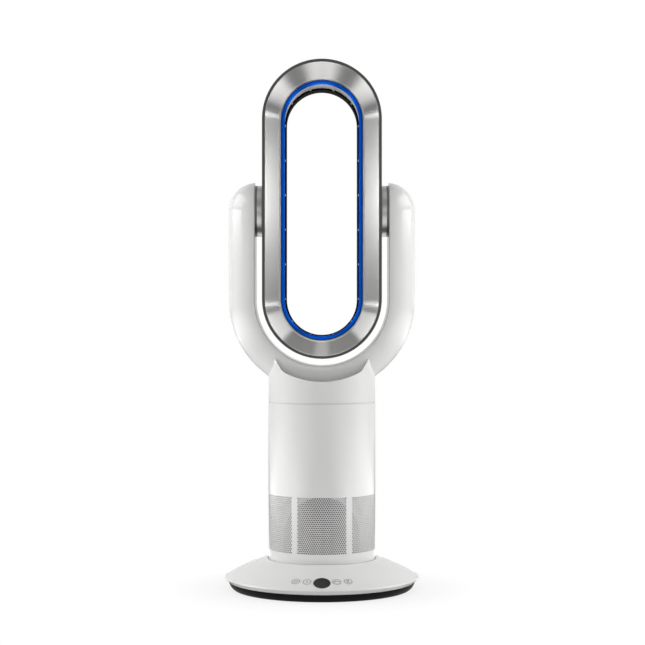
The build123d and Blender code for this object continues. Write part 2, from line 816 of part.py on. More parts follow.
# Bellmouth and conical shroud round the impeller, hung in the column by its flange
with BuildPart() as impeller_shroud:
    with BuildSketch(Plane.XZ):
        with BuildLine():
            mouth = (shroud_mouth, shroud_bottom)
            eye = (eye_radius, eye_height)
            Line((column_bore - seat_gap, shroud_bottom), mouth)
            Polyline(mouth, (eye_radius + shroud_step, shroud_bottom + shroud_step), eye)
            Line(eye, (outlet_bore, diffuser_bottom))
            Line((outlet_bore, diffuser_bottom), (diffuser_radius, diffuser_bottom))
            Polyline(
                (diffuser_radius, diffuser_bottom),
                (eye_outer, eye_height),
                (eye_outer + shroud_wall, eye_height - 2 * shroud_wall),
                (shroud_mouth, shroud_bottom + shroud_wall),
                (column_bore - seat_gap, shroud_bottom + shroud_wall),
                (column_bore - seat_gap, shroud_bottom),
            )
        make_face()
    revolve(axis=Axis.Z)
impeller_shroud.part.label = "impeller_shroud"
export_step(impeller_shroud.part, "parts/impeller_shroud.step")


def hub_radius_at(share):
    """Radius of the impeller's conical hub at a share of its height."""
    return hub_nose + (hub_rim - hub_nose) * share


def tip_radius_at(height):
    """Radius of the blades' tips: the shroud's cone less the tip gap."""
    share = (height - eye_height) / (diffuser_bottom - eye_height)
    return eye_radius + (outlet_bore - eye_radius) * share - tip_gap


# Mixed-flow impeller: a conical hub and twisted blades that sweep outward as they rise
hub_height = impeller_top - hub_bottom
with BuildPart() as blade:
    for station in range(blade_stations):
        share = station / (blade_stations - 1)
        height = hub_bottom + 1 + (hub_height - 3) * share
        root_radius = hub_radius_at((height - hub_bottom) / hub_height) - blade_root
        tip_radius = tip_radius_at(height)
        with BuildSketch(Plane.XY.offset(height)):
            with Locations(Rotation(0, 0, blade_wrap * share)):
                with Locations(((root_radius + tip_radius) / 2, 0)):
                    Rectangle(tip_radius - root_radius, blade_thickness)
    loft(ruled=True)

with BuildPart() as impeller:
    with BuildSketch(Plane.XZ):
        with BuildLine():
            boss_top = hub_bottom + hub_height / 2
            Polyline(
                (hub_nose, hub_bottom),
                (hub_rim, impeller_top),
                (hub_rim - hub_wall, impeller_top),
                (hub_boss_radius, hub_bottom + 3 * hub_wall),
                (hub_boss_radius, boss_top),
                (shaft_radius, boss_top),
                (shaft_radius, hub_bottom),
                close=True,
            )
        make_face()
    revolve(axis=Axis.Z)
    with PolarLocations(0, blade_count):
        add(blade.part)
impeller.part.label = "impeller"
export_step(impeller.part, "parts/impeller.step")

# Steel shaft from the nut under the hub up into the motor
shaft_top = fan_motor_bottom + shaft_depth
with BuildPart() as motor_shaft:
    with BuildSketch(Plane.XY.offset(hub_bottom - nut_height / 2)):
        Circle(shaft_radius - running_gap / 2)
    extrude(amount=shaft_top - hub_bottom + nut_height / 2)
motor_shaft.part.label = "motor_shaft"
export_step(motor_shaft.part, "parts/motor_shaft.step")

with BuildPart() as impeller_nut:
    with BuildSketch(Plane.XY.offset(hub_bottom - nut_height)):
        RegularPolygon(nut_radius, 6)
    extrude(amount=nut_height)
    with BuildSketch(Plane.XY.offset(hub_bottom - nut_height / 2)):
        Circle(shaft_radius)
    extrude(amount=nut_height / 2, mode=Mode.SUBTRACT)
impeller_nut.part.label = "impeller_nut"
export_step(impeller_nut.part, "parts/impeller_nut.step")

# Diffuser: outer tube, motor bucket inside it, and straightening vanes between them
with BuildPart() as diffuser:
    with BuildSketch(Plane.XY.offset(vane_bottom)):
        with PolarLocations(0, vane_count):
            with Locations(((bucket_radius + diffuser_radius) / 2, 0)):
                Rectangle(diffuser_radius - bucket_radius + bucket_wall, vane_thickness)
    extrude(amount=vane_height)
    with BuildSketch(Plane.XY.offset(vane_bottom)):
        Circle(diffuser_radius + diffuser_wall)
        Circle(outlet_bore + diffuser_wall / 2, mode=Mode.SUBTRACT)
    extrude(amount=vane_height, mode=Mode.SUBTRACT)
    ring(diffuser_radius, outlet_bore, diffuser_bottom, diffuser_top - diffuser_bottom)
    ring(bucket_radius, bucket_radius - bucket_wall, bucket_bottom, diffuser_top - bucket_bottom)
    ring(bucket_radius - bucket_wall / 2, hub_boss_radius, bucket_bottom, bucket_wall)
diffuser.part.label = "diffuser"
export_step(diffuser.part, "parts/diffuser.step")

# Motor, held in the bucket by rubber blocks
with BuildPart() as fan_motor:
    with BuildSketch(Plane.XY.offset(fan_motor_bottom)):
        Circle(fan_motor_radius)
    extrude(amount=fan_motor_height)
    with BuildSketch(Plane.XY.offset(bucket_bottom + bucket_wall)):
        Circle(fan_motor_nose)
    extrude(amount=fan_motor_bottom - bucket_bottom - bucket_wall)
    with BuildSketch(Plane.XY.offset(bucket_bottom)):
        Circle(shaft_radius + running_gap / 2)
    extrude(amount=shaft_top + 1 - bucket_bottom, mode=Mode.SUBTRACT)
fan_motor.part.label = "fan_motor"
export_step(fan_motor.part, "parts/fan_motor.step")

with BuildPart() as motor_mounts:
    with BuildSketch(Plane.XY.offset(fan_motor_bottom + (fan_motor_height - mount_height) / 2)):
        with PolarLocations(0, mount_count):
            with Locations((fan_motor_radius + bucket_wall, 0)):
                Rectangle(2 * (bucket_radius - bucket_wall - fan_motor_radius), mount_width)
        Circle(bucket_radius - bucket_wall, mode=Mode.INTERSECT)
        Circle(fan_motor_radius, mode=Mode.SUBTRACT)
    extrude(amount=mount_height)
motor_mounts.part.label = "motor_mounts"
export_step(motor_mounts.part, "parts/motor_mounts.step")

# Splitter: plate over the diffuser, spigot that joins column and yoke, and a ridge that
# parts the air between the two arms
with BuildPart() as duct_splitter:
    plate_outer = column_bore - seat_gap
    ring(plate_outer, outlet_bore, diffuser_top, splitter_plate)
    ring(plate_outer, plate_outer - splitter_wall, diffuser_top, column_seam - diffuser_top)
    spigot_outer = column_radius - yoke_wall - seat_gap
    ring(spigot_outer, spigot_outer - splitter_wall, diffuser_top, splitter_spigot)
    with BuildSketch(Plane.XZ) as ridge:
        with BuildLine():
            ridge_top = diffuser_top + splitter_height
            Line((-splitter_half_width, diffuser_top), (splitter_half_width, diffuser_top))
            Line((splitter_half_width, diffuser_top), (splitter_nose, ridge_top - splitter_nose))
            ThreePointArc(
                (splitter_nose, ridge_top - splitter_nose),
                (0, ridge_top),
                (-splitter_nose, ridge_top - splitter_nose),
            )
            Line((-splitter_nose, ridge_top - splitter_nose), (-splitter_half_width, diffuser_top))
        make_face()
    extrude(amount=outlet_bore + ridge_root, both=True)
duct_splitter.part.label = "duct_splitter"
export_step(duct_splitter.part, "parts/duct_splitter.step")


# ================================================================ yoke
def scoop(drop):
    """Cutter above the collar, level along the depth; drop lowers it for the hollow."""
    radius = scoop_radius + drop
    slope = radians(scoop_side_angle)
    # the side line passes the cusp; it is moved square to itself by the drop
    cusp = (scoop_cusp + drop * sin(slope), scoop_cusp_height - drop * cos(slope))
    reach = collar_top - cusp[1]
    high = (cusp[0] + reach / tan(slope), collar_top)
    # where the side line meets the round floor
    run = (cos(slope), sin(slope))
    start = (cusp[0], cusp[1] - bend_centre)
    along = start[0] * run[0] + start[1] * run[1]
    clear = start[0] ** 2 + start[1] ** 2 - radius**2
    step = -along - sqrt(along**2 - clear)
    corner = (start[0] + step * run[0], cusp[1] + step * run[1])
    with BuildSketch(Plane.XZ) as section:
        with BuildLine():
            Line((-high[0], collar_top), (-corner[0], corner[1]))
            ThreePointArc((-corner[0], corner[1]), (0, bend_centre - radius), corner)
            Line(corner, high)
            Line(high, (-high[0], collar_top))
        make_face()
        fillet(section.vertices().group_by(Axis.Y)[0], scoop_fillet - drop)
    return section.sketch


def yoke_form(inset, face, bottom):
    """Solid form of arms, bend and collar; the hollow is the same form set in by the wall."""
    radius = arm_radius - inset
    bend_axis = Axis((0, 0, bend_centre), (0, 1, 0))
    with BuildPart() as form:
        with BuildSketch(Plane.XY.offset(bottom)):
            Circle(column_radius - inset)
        extrude(amount=collar_top - bottom)
        extrude(scoop(inset), amount=2 * column_radius, both=True, mode=Mode.SUBTRACT)
        with BuildSketch(Plane.XY.offset(bend_centre)) as section:
            with Locations((arm_centre, 0)):
                Circle(radius)
            with Locations((face, 0)):
                Rectangle(2 * radius, 2 * radius, align=(Align.MIN, Align.CENTER), mode=Mode.INTERSECT)
        revolve(section.sketch, axis=bend_axis, revolution_arc=180)
        extrude(section.sketch, amount=yoke_bend_height)
        extrude(mirror(section.sketch, about=Plane.YZ, mode=Mode.PRIVATE), amount=yoke_bend_height)
    with BuildPart() as dome:
        with Locations((arm_centre, 0, pivot_height)):
            Sphere(radius)
        with Locations((face, 0, pivot_height)):
            Box(radius * 2, radius * 2, radius * 2, mode=Mode.INTERSECT,
                align=(Align.MIN, Align.CENTER, Align.MIN))
        mirror(about=Plane.YZ)
    with BuildPart() as whole:
        add(form.part)
        add(dome.part)
    return whole.part


post_end = arm_centre + sqrt((arm_radius - yoke_wall / 2) ** 2 - (yoke_post_place + yoke_post_radius) ** 2)
yoke_outside = yoke_form(0, arm_face, column_seam)
yoke_hollow = yoke_form(yoke_wall, arm_centre, column_seam - cut_overrun)


def yoke_shell(side, drop):
    """Half of the yoke: side is -1 in front and 1 at the back; its posts take the cover's screws."""
    with BuildPart() as shell:
        add(yoke_outside)
        add(yoke_hollow, mode=Mode.SUBTRACT)
        with BuildSketch(Plane.YZ.offset(cover_face + cover_thickness)):
            with Locations((side * yoke_post_place, pivot_height - drop)):
                Circle(yoke_post_radius)
                Circle(screw_radius, mode=Mode.SUBTRACT)
        extrude(amount=post_end - cover_face - cover_thickness)
        with BuildSketch(Plane.YZ.offset(-cover_face - cover_thickness)):
            with Locations((side * yoke_post_place, pivot_height - drop)):
                Circle(yoke_post_radius)
                Circle(screw_radius, mode=Mode.SUBTRACT)
        extrude(amount=-(post_end - cover_face - cover_thickness))
        split(bisect_by=Plane.XZ, keep=Keep.TOP if side < 0 else Keep.BOTTOM)
    return shell.part


with BuildPart() as yoke_front_shell:
    add(yoke_shell(-1, yoke_post_drops[0]))
yoke_front_shell.part.label = "yoke_front_shell"
export_step(yoke_front_shell.part, "parts/yoke_front_shell.step")

with BuildPart() as yoke_rear_shell:
    add(yoke_shell(1, yoke_post_drops[1]))
yoke_rear_shell.part.label = "yoke_rear_shell"
export_step(yoke_rear_shell.part, "parts/yoke_rear_shell.step")

# Inner cover: closes the arms and the bend towards the loop and has an opening at each pivot
with BuildPart() as yoke_inner_cover:
    cover_back = cover_face + cover_thickness
    half_depth = sqrt((arm_radius - yoke_wall) ** 2 - (cover_back - arm_centre) ** 2) - cover_gap
    with BuildSketch(Plane.XY.offset(bend_centre)) as strip:
        with Locations((cover_face, 0)):
            Rectangle(cover_thickness, 2 * half_depth, align=(Align.MIN, Align.CENTER))
    revolve(strip.sketch, axis=Axis((0, 0, bend_centre), (0, 1, 0)), revolution_arc=180)
    for side in (-1, 1):
        with BuildSketch(Plane.YZ.offset(side * cover_face)):
            with Locations((0, bend_centre)):
                Rectangle(2 * half_depth, yoke_bend_height, align=(Align.CENTER, Align.MIN))
            with Locations((0, pivot_height)):
                Circle(half_depth)
                Circle(bush_sleeve_radius + seat_gap, mode=Mode.SUBTRACT)
        extrude(amount=side * cover_thickness)
        for shell_side, drop in zip((-1, 1), yoke_post_drops):
            with BuildSketch(Plane.YZ.offset(side * cover_face)):
                with Locations((shell_side * yoke_post_place, pivot_height - drop)):
                    Circle(screw_radius + seat_gap)
            extrude(amount=side * cover_thickness, mode=Mode.SUBTRACT)
            with BuildSketch(Plane.YZ.offset(side * cover_face)):
                with Locations((shell_side * yoke_post_place, pivot_height - drop)):
                    Circle(screw_head_radius + seat_gap)
            extrude(amount=side * screw_head_height, mode=Mode.SUBTRACT)
yoke_inner_cover.part.label = "yoke_inner_cover"
export_step(yoke_inner_cover.part, "parts/yoke_inner_cover.step")

# Screws that hold the inner cover and both shells together
with BuildPart() as yoke_screws:
    for shell_side, drop in zip((-1, 1), yoke_post_drops):
        spot = (cover_face, shell_side * yoke_post_place, pivot_height - drop)
        with Locations(Location(spot, (0, 90, 0))):
            add(screw(yoke_screw_length))
    mirror(about=Plane.YZ)
yoke_screws.part.label = "yoke_screws"
export_step(yoke_screws.part, "parts/yoke_screws.step")


# ---------------------------------------------------------------- tilt pivots
def pivot_ring(outer, inner, start, end):
    """Ring about the tilt axis, on the right; added to the piece being built."""
    with BuildSketch(Plane.YZ.offset(start)) as band:
        with Locations((0, pivot_height)):
            Circle(outer)
            Circle(inner, mode=Mode.SUBTRACT)
    extrude(band.sketch, amount=end - start)


bush_bore = journal_radius + running_gap

# Flanged bushes in the arms; the flange shows as a dark band beside the cover
with BuildPart() as tilt_bushes:
    pivot_ring(hub_radius, bush_bore, bush_face, cover_face)
    pivot_ring(bush_sleeve_radius, bush_bore, cover_face, bush_end)
    mirror(about=Plane.YZ)
tilt_bushes.part.label = "tilt_bushes"
export_step(tilt_bushes.part, "parts/tilt_bushes.step")

# Hollow trunnions: hub disc on the loop's side, journal in the bush, air passes inside
with BuildPart() as trunnions:
    pivot_ring(spigot_radius, journal_bore, loop_radius - side_wall, loop_radius)
    pivot_ring(hub_radius, journal_bore, loop_radius, hub_face)
    pivot_ring(journal_radius, journal_bore, hub_face, tilt_clip_place)
    pivot_ring(journal_radius - tilt_clip_groove, journal_bore, tilt_clip_place, journal_end)
    pivot_ring(journal_radius, journal_bore, tilt_clip_place + tilt_clip_thickness, journal_end)
    mirror(about=Plane.YZ)
trunnions.part.label = "trunnions"
export_step(trunnions.part, "parts/trunnions.step")

# Thrust washers and spring clips behind the bushes
with BuildPart() as tilt_washers:
    pivot_ring(bush_sleeve_radius, journal_radius + seat_gap, bush_end + slide_gap, tilt_clip_place)
    mirror(about=Plane.YZ)
tilt_washers.part.label = "tilt_washers"
export_step(tilt_washers.part, "parts/tilt_washers.step")

with BuildPart() as tilt_clips:
    clip_end = tilt_clip_place + tilt_clip_thickness
    pivot_ring(bush_sleeve_radius, journal_radius - tilt_clip_groove, tilt_clip_place, clip_end)
    mirror(about=Plane.YZ)
tilt_clips.part.label = "tilt_clips"
export_step(tilt_clips.part, "parts/tilt_clips.step")

# ================================================================ air loop
level = Plane.XY.offset(pivot_height)


def run_round_loop(section):
    """Carries a wall section, drawn level with the pivot, along the straights and round the ends."""
    end_axis = Axis((0, 0, pivot_height + loop_half_straight), (0, -1, 0))
    extrude(section, amount=loop_half_straight, both=True)
    mirror(about=Plane.YZ)
    revolve(Pos(0, 0, loop_half_straight) * section, axis=end_axis, revolution_arc=180)
    mirror(about=level)


# Dark side shell: outer wall with the narrow rim in front; the trunnions enter its straights
with BuildSketch(level) as side_section:
    with BuildLine():
        Polyline(
            (loop_radius, -loop_half_depth),
            (loop_radius, back_joint),
            (loop_radius - side_wall, back_joint),
            (loop_radius - side_wall, front_rim_depth - loop_half_depth),
            (bezel_front_radius, front_rim_depth - loop_half_depth),
            (bezel_front_radius, -loop_half_depth),
            close=True,
        )
    make_face()
with BuildPart() as loop_side_shell:
    run_round_loop(side_section.sketch)
    with BuildSketch(Plane.YZ) as hub_hole:
        with Locations((0, pivot_height)):
            Circle(spigot_radius + seat_gap)
    extrude(amount=loop_radius + cut_overrun, both=True, mode=Mode.SUBTRACT)
loop_side_shell.part.label = "loop_side_shell"
export_step(loop_side_shell.part, "parts/loop_side_shell.step")

# Back cover, rounded into the side shell
back_round = loop_half_depth - back_joint
with BuildSketch(level) as back_section:
    with BuildLine():
        Polyline(
            (loop_radius, back_joint),
            (loop_radius - side_wall, back_joint),
            (loop_radius - back_round, loop_half_depth - back_wall),
            (back_inner, loop_half_depth - back_wall),
            (back_inner, loop_half_depth),
            (loop_radius - back_round, loop_half_depth),
        )
        RadiusArc((loop_radius - back_round, loop_half_depth), (loop_radius, back_joint), back_round)
    make_face()
with BuildPart() as loop_back_cover:
    run_round_loop(back_section.sketch)
loop_back_cover.part.label = "loop_back_cover"
export_step(loop_back_cover.part, "parts/loop_back_cover.step")

# Brushed bezel, a deep bevel with a flange behind the rim and a skirt round the blue ring
with BuildSketch(level) as bezel_section:
    with BuildLine():
        rim_back = front_rim_depth - loop_half_depth
        skirt_end = bezel_back + bezel_skirt
        Polyline(
            (bezel_front_radius, -loop_half_depth),
            (bezel_front_radius, rim_back),
            (loop_radius - side_wall - seat_gap, rim_back),
            (loop_radius - side_wall - seat_gap, rim_back + bezel_wall),
            (bezel_front_radius - bezel_wall, rim_back + bezel_wall),
            (bezel_inner + bezel_wall, bezel_back + bezel_wall / 3),
            (bezel_inner + bezel_wall, skirt_end),
            (bezel_inner, skirt_end),
            (bezel_inner, bezel_back),
            close=True,
        )
    make_face()
with BuildPart() as front_bezel:
    run_round_loop(bezel_section.sketch)
front_bezel.part.label = "front_bezel"
export_step(front_bezel.part, "parts/front_bezel.step")

# Blue trim bead between bezel and liner
with BuildSketch(level) as trim_section:
    with BuildLine():
        trim_outer = bezel_inner - running_gap
        trim_inner = throat_radius - trim_overlap
        RadiusArc((trim_inner, liner_front), (trim_outer, bezel_back), trim_inner - trim_outer)
        Line((trim_outer, bezel_back), (trim_outer, liner_front))
        Line((trim_outer, liner_front), (trim_inner, liner_front))
    make_face()
with BuildPart() as blue_trim:
    run_round_loop(trim_section.sketch)
blue_trim.part.label = "blue_trim"
export_step(blue_trim.part, "parts/blue_trim.step")

# Light liner of the opening: flange in front, flared rear edge, spacer ribs across the slot
rib_inner = nozzle_radius + nozzle_lip + running_gap
with BuildSketch(level) as liner_section:
    with BuildLine():
        outer = throat_radius + liner_wall
        Polyline(
            (throat_radius, liner_front),
            (throat_radius, liner_back - 2 * liner_flare),
            (throat_radius + liner_flare, liner_back),
            (outer + liner_flare, liner_back),
            (outer, liner_back - 2 * liner_flare),
            (outer, liner_front + liner_flange_thickness),
            (liner_flange_radius, liner_front + liner_flange_thickness),
            (liner_flange_radius, liner_front),
            close=True,
        )
    make_face()
with BuildPart() as inner_liner:
    run_round_loop(liner_section.sketch)
    rib_outer = throat_radius + liner_wall / 2
    rib_radius = (rib_inner + rib_outer) / 2
    rib_middle = nozzle_front + rib_length / 2 - passing_gap
    rib_places = []
    for side in (-1, 1):
        for row in range(rib_rows):
            height = pivot_height + (row - (rib_rows - 1) / 2) * rib_pitch
            rib_places.append(Location((side * rib_radius, rib_middle, height)))
        for end in (-1, 1):
            for angle in rib_angles:
                across = side * rib_radius * sin(radians(angle))
                up = loop_half_straight + rib_radius * cos(radians(angle))
                turn = side * end * (angle - 90)
                rib_places.append(Location((across, rib_middle, pivot_height + end * up), (0, turn, 0)))
    with Locations(*rib_places):
        Box(rib_outer - rib_inner, rib_length, rib_width)
inner_liner.part.label = "inner_liner"
export_step(inner_liner.part, "parts/inner_liner.step")

# Black nozzle ring: thin lip inside the liner's rear edge, curving out to the back cover
with BuildSketch(level) as nozzle_section:
    with BuildLine():
        lip_outer = nozzle_radius + nozzle_lip
        lip_end = nozzle_front + nozzle_straight
        curve_end = (back_inner - seat_gap, loop_half_depth - nozzle_wall)
        Line((nozzle_radius, loop_half_depth), (nozzle_radius, nozzle_front))
        Line((nozzle_radius, nozzle_front), (lip_outer, nozzle_front))
        Line((lip_outer, nozzle_front), (lip_outer, lip_end))
        TangentArc((lip_outer, lip_end), curve_end, tangent=(0, 1))
        Line(curve_end, (back_inner - seat_gap, loop_half_depth))
        Line((back_inner - seat_gap, loop_half_depth), (nozzle_radius, loop_half_depth))
    make_face()
with BuildPart() as nozzle_ring:
    run_round_loop(nozzle_section.sketch)
nozzle_ring.part.label = "nozzle_ring"
export_step(nozzle_ring.part, "parts/nozzle_ring.step")
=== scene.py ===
import bpy
import bmesh
import json
from math import asin, cos, pi, radians, sin, sqrt
from mathutils import Matrix, Vector


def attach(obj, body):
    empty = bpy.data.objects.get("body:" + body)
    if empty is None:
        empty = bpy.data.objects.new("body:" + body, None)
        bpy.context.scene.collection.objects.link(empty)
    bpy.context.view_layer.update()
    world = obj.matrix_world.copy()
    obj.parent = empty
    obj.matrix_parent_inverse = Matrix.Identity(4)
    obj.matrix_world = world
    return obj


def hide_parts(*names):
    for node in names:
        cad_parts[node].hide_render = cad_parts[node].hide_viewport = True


# Bladeless fan in front of a white studio backdrop. Metres, +Z up, the front faces -Y.
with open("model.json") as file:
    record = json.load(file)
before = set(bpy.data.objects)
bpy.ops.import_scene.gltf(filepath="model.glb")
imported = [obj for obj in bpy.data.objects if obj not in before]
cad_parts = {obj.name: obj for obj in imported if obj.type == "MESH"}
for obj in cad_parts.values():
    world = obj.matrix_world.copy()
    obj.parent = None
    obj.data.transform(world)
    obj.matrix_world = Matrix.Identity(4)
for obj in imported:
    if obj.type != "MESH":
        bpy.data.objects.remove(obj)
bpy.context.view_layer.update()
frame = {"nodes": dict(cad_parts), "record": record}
scene = bpy.context.scene
scene.view_settings.view_transform = "Standard"

# ---------------------------------------------------------------- camera
# Level camera in front of the column's axis, at about half the fan's height
photo_size = 645              # pixels, both ways
focal_pixels = 1642           # focal length in pixels of the photograph
shift_pixels = 0.6            # the axis stands this far left of the picture's middle
camera_distance = 2.2         # metres, from the column's axis
camera_height = 0.3555
camera_data = bpy.data.cameras.new("camera")
camera_data.sensor_width = 36.0
camera_data.lens = focal_pixels / photo_size * camera_data.sensor_width
camera_data.shift_x = shift_pixels / photo_size
camera = bpy.data.objects.new("camera", camera_data)
camera.location = (0.0, -camera_distance, camera_height)
camera.rotation_euler = (radians(90), 0.0, 0.0)
scene.collection.objects.link(camera)
scene.camera = camera

# ---------------------------------------------------------------- main sizes, in metres
mm = 0.001
column_radius = 71.5 * mm
column_bore = 69.1 * mm
housing_bottom = 38.3 * mm
column_seam = 250.3 * mm
intake_bottom = 54.0 * mm
intake_top = 128.0 * mm
bend_centre = 386.4 * mm      # middle of the loop's lower round end
top_centre = 622.4 * mm       # middle of its upper round end
pivot_height = 504.4 * mm
dish_centre = -200.43 * mm    # middle of the sphere that the dish's crown is part of
dish_radius = 253.44 * mm
control_circle = 115.0 * mm   # the keys sit this far from the column's axis
around = 72                   # steps round a turned piece


# ---------------------------------------------------------------- helpers
def linear(code):
    """The linear colour of an sRGB hex value."""
    parts = [int(code[i:i + 2], 16) / 255 for i in (1, 3, 5)]
    return [p / 12.92 if p <= 0.04045 else ((p + 0.055) / 1.055) ** 2.4 for p in parts] + [1.0]


def add(tree, kind, inputs=None, **settings):
    """Adds a node. An input that is another node's output is linked, and any other is set."""
    node = tree.nodes.new(kind)
    for name, value in settings.items():
        setattr(node, name, value)
    for name, value in (inputs or {}).items():
        if isinstance(value, bpy.types.NodeSocket):
            tree.links.new(value, node.inputs[name])
        else:
            node.inputs[name].default_value = value
    return node


def new_material(name):
    """An empty material and its node tree."""
    material = bpy.data.materials.new(name)
    material.use_nodes = True
    material.node_tree.nodes.clear()
    return material, material.node_tree


def piece_of(name, bm, material, body, nodes=(), sharp=35.0):
    """Turns mesh code into a piece: smooth but for edges sharper than an angle."""
    mesh = bpy.data.meshes.new(name)
    bmesh.ops.recalc_face_normals(bm, faces=bm.faces)
    bm.to_mesh(mesh)
    bm.free()
    mesh.shade_smooth()
    mesh.set_sharp_from_angle(angle=radians(sharp))
    mesh.materials.append(material)
    piece = bpy.data.objects.new(name, mesh)
    scene.collection.objects.link(piece)
    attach(piece, body)
    if nodes:
        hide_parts(*nodes)
    return piece


def join_rings(bm, rings):
    """Faces between closed rings of points, from each to the next and from the last to the first."""
    for ring, following in zip(rings, rings[1:] + rings[:1]):
        for i in range(len(ring)):
            j = (i + 1) % len(ring)
            bm.faces.new((ring[i], ring[j], following[j], following[i]))


def round_the_loop(bm, section, steps=40):
    """Carries a closed section of (distance from the end's middle, depth) once round the loop."""
    rings = []
    for start, middle in ((0, top_centre), (180, bend_centre)):
        for step in range(steps + 1):
            turn = radians(start + 180 * step / steps)
            rings.append([
                bm.verts.new((r * cos(turn), y, middle + r * sin(turn))) for r, y in section
            ])
    join_rings(bm, rings)


def arc(middle, radius, start, end, steps):
    """Points of a section along an arc, in millimetres and degrees."""
    return [
        (middle[0] + radius * cos(radians(start + (end - start) * k / steps)),
         middle[1] + radius * sin(radians(start + (end - start) * k / steps)))
        for k in range(steps + 1)
    ]


def metres(section):
    """The same section in metres."""
    return [(r * mm, y * mm) for r, y in section]


# ---------------------------------------------------------------- finishes
def moulded(name, colour, roughness, ior, grain=0.4, depth=0.05, wander=0.04, sheen=0.5, metal=0.0):
    """Moulded, painted or plated skin: nearly even colour, faint flow marks, and a fine relief.

    grain is the size of the relief in millimetres, depth how strongly it shows, and wander how
    much the roughness changes over the surface. sheen is the strength of the gloss, and metal the
    share of metal.
    """
    material, tree = new_material(name)
    place = add(tree, "ShaderNodeTexCoord").outputs["Object"]
    flow = add(tree, "ShaderNodeTexNoise", {"Vector": place, "Scale": 1 / (110 * mm), "Detail": 2.0})
    tone = add(tree, "ShaderNodeMix", {
        0: flow.outputs["Fac"], 6: linear(colour), 7: [0.97 * c for c in linear(colour)[:3]] + [1.0],
    }, data_type="RGBA")
    rough = add(tree, "ShaderNodeMapRange", {
        "Value": flow.outputs["Fac"], "To Min": roughness - wander / 2, "To Max": roughness + wander / 2,
    })
    skin = add(tree, "ShaderNodeTexNoise", {"Vector": place, "Scale": 1 / (grain * mm), "Detail": 1.0})
    relief = add(tree, "ShaderNodeBump", {
        "Height": skin.outputs["Fac"], "Strength": depth, "Distance": grain * mm / 4,
    })
    shade = add(tree, "ShaderNodeBsdfPrincipled", {
        "Base Color": tone.outputs[2], "Roughness": rough.outputs["Result"],
        "Normal": relief.outputs["Normal"], "IOR": ior, "Specular IOR Level": sheen,
        "Metallic": metal,
    })
    add(tree, "ShaderNodeOutputMaterial", {"Surface": shade.outputs["BSDF"]})
    return material


# ABS from a polished mould, pigmented white: a wet gloss with the faintest orange peel
white_abs = moulded("white_abs_polished_mould", "#F0F0EF", 0.14, ior=1.53, grain=1.2, depth=0.03)
# the same ABS from a spark-eroded mould, on the cone that the guide dome stands for
white_satin_abs = moulded("white_abs_spark_eroded", "#E6E6E5", 0.35, ior=1.53, grain=0.3, depth=0.12)
# black ABS from a polished mould: deep, with sharp reflections of the studio
black_abs = moulded("black_abs_polished_mould", "#0B0A0A", 0.1, ior=1.53, grain=1.2, depth=0.02)
# black ABS with a dead matt soft-touch paint: the nozzle and hidden carriers
matt_black_abs = moulded(
    "black_abs_soft_touch", "#0A0909", 0.85, ior=1.45, grain=0.3, depth=0.15, sheen=0.12,
)
# polyurethane paint with fine mica on ABS: dark, satin
iron_paint = moulded("iron_grey_paint", "#464644", 0.3, ior=1.5, grain=0.25, depth=0.08)
# silver paint with aluminium flakes, on the pivots' discs
hub_paint = moulded("silver_flake_paint", "#D6D6D4", 0.34, ior=1.5, grain=0.25, depth=0.08, metal=0.6)
# acetal bushes, slightly waxy
grey_acetal = moulded("grey_acetal", "#8D8D8D", 0.4, ior=1.48, grain=0.5, depth=0.05)
# light ABS from a satin mould, inside the loop
liner_abs = moulded("light_grey_abs", "#E2E2E0", 0.3, ior=1.53, grain=0.3, depth=0.06)
# smoked acrylic window: hardly any relief, a hard gloss
smoked_acrylic = moulded("smoked_acrylic", "#1E1D1D", 0.06, ior=1.49, grain=2.0, depth=0.01, wander=0.02)
# plated and cast metals, rubber, boards and bearings inside and under the fan
zinc_plate = moulded("zinc_plated_steel", "#C9C9C6", 0.35, ior=1.5, grain=0.2, depth=0.1, metal=1.0)
cast_iron = moulded("cast_iron", "#6A6866", 0.7, ior=1.5, grain=1.2, depth=0.4, metal=1.0)
rubber = moulded("moulded_rubber", "#161616", 0.65, ior=1.52, grain=0.4, depth=0.2)
solder_mask = moulded("solder_mask", "#12482A", 0.3, ior=1.55, grain=0.6, depth=0.08)
natural_acetal = moulded("natural_acetal", "#E2E2DA", 0.42, ior=1.48, grain=0.5, depth=0.05)
# screen-printed ink on the keys
grey_ink = moulded("grey_screen_ink", "#404040", 0.5, ior=1.5, grain=0.2, depth=0.1)


def along_loop(tree):
    """The place, the way out from the loop's middle line, and the brushing's direction, which
    runs along the loop's straights and round its ends."""
    place = add(tree, "ShaderNodeTexCoord").outputs["Object"]
    axes = add(tree, "ShaderNodeSeparateXYZ", {0: place})
    nearest = add(tree, "ShaderNodeClamp", {
        "Value": axes.outputs["Z"], "Min": bend_centre, "Max": top_centre,
    })
    rise = add(tree, "ShaderNodeMath", {
        0: axes.outputs["Z"], 1: nearest.outputs[0],
    }, operation="SUBTRACT")
    outward = add(tree, "ShaderNodeCombineXYZ", {"X": axes.outputs["X"], "Z": rise.outputs[0]})
    along = add(tree, "ShaderNodeVectorMath", {
        0: outward.outputs[0], 1: (0.0, 1.0, 0.0),
    }, operation="CROSS_PRODUCT")
    unit = add(tree, "ShaderNodeVectorMath", {0: along.outputs[0]}, operation="NORMALIZE")
    return place, outward.outputs[0], unit.outputs[0]


# ABS plated with satin chrome and brushed along the loop. The brushing spreads highlights
# square to its lines, across the bevel, so that it shows bright and dark sectors.
silver_plate, tree = new_material("brushed_satin_chrome")
place, outward, brushing = along_loop(tree)
distance = add(tree, "ShaderNodeVectorMath", {0: outward}, operation="LENGTH")
